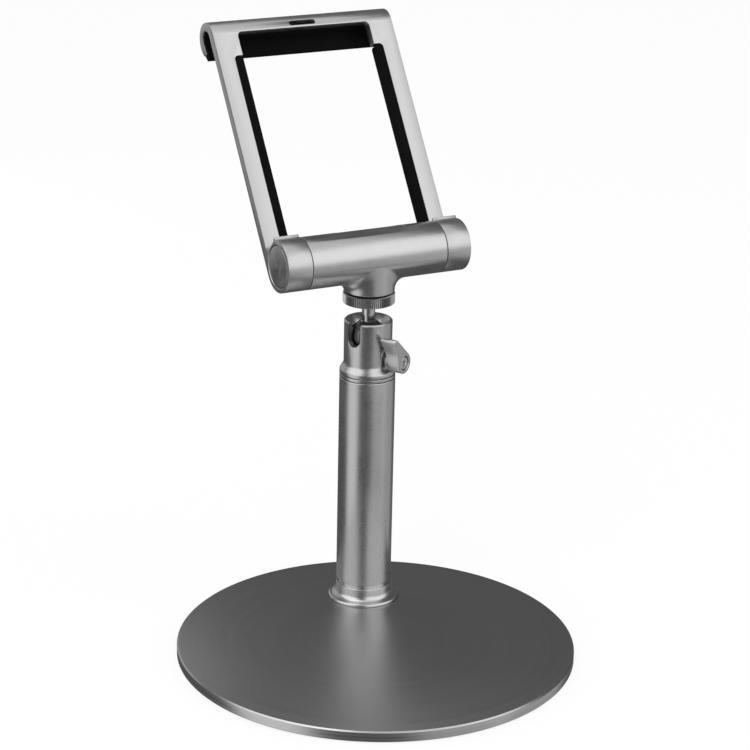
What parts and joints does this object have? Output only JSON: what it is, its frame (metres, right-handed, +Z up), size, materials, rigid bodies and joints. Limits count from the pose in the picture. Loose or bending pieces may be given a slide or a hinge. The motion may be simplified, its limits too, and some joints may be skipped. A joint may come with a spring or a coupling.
{
  "type": "tablet stand",
  "caption": "Desk stand for a tablet: round flat base, slim column, lockable ball head and an open tilting frame with a padded hook.",
  "frame": {"origin": "centre of the base pad's underside, where the stand rests on the desk", "axes": "+Z up along the column, +Y to the back, where the column stands behind the base's centre, +X to the right seen from the front"},
  "size_m": [0.196, 0.2589, 0.2906],
  "materials": {
    "satin_aluminium": "fine bead-blasted, clear anodised, satin",
    "spun_aluminium": "fine turned, anodised, with circular grain",
    "base_steel": "silver-grey satin, brushed rim with a bright chamfer",
    "bright_steel": "turned and polished",
    "dark_steel": "black oxide",
    "black_rubber": "matt black silicone",
    "nylon": "natural nylon"
  },
  "bodies": {
    "stand": {"base_plate": "base_steel", "base_pad": "black_rubber", "foot_screw": "dark_steel", "column_foot": "spun_aluminium", "column_tube": "satin_aluminium", "column_plug": "spun_aluminium", "ball_housing": "satin_aluminium", "ball_seat": "nylon"},
    "clamp": {"clamp_screw": "bright_steel", "clamp_lever": "satin_aluminium", "lever_cap_screw": "bright_steel"},
    "ball": {"ball_stem": "bright_steel"},
    "lock": {"lock_disc": "spun_aluminium"},
    "head": {"disc_washer": "black_rubber", "hinge_block": "satin_aluminium", "hinge_screw_left": "dark_steel", "hinge_screw_right": "dark_steel", "spring_washer_left": "bright_steel", "spring_washer_right": "bright_steel", "friction_washer_left": "nylon", "friction_washer_right": "nylon"},
    "bracket": {"bracket": "satin_aluminium", "hook_liner": "black_rubber", "side_strip_left": "black_rubber", "side_strip_right": "black_rubber", "end_disc_left": "spun_aluminium", "end_disc_right": "spun_aluminium"}
  },
  "joints": [
    {"name": "ball_tilt", "type": "hinge", "parent": "stand", "child": "ball", "pos_m": [0, 0.0555, 0.1464], "axis": [0.7108, -0.7034, 0], "range_deg": [-30, 90]},
    {"name": "head_swivel", "type": "hinge", "parent": "ball", "child": "head", "pos_m": [0, 0.0555, 0.1464], "axis": [0, 0, 1], "continuous": true},
    {"name": "lock_disc_turn", "type": "hinge", "parent": "ball", "child": "lock", "pos_m": [0, 0.0555, 0.1464], "axis": [0, 0, 1], "continuous": true},
    {"name": "bracket_tilt", "type": "hinge", "parent": "head", "child": "bracket", "pos_m": [0, 0.0555, 0.1876], "axis": [-0.9363, -0.3512, 0], "range_deg": [-175, 80]},
    {"name": "lever_turn", "type": "hinge", "parent": "stand", "child": "clamp", "pos_m": [0, 0.0555, 0.1357], "axis": [0.7771, -0.6293, 0], "range_deg": [-40, 95]}
  ]
}
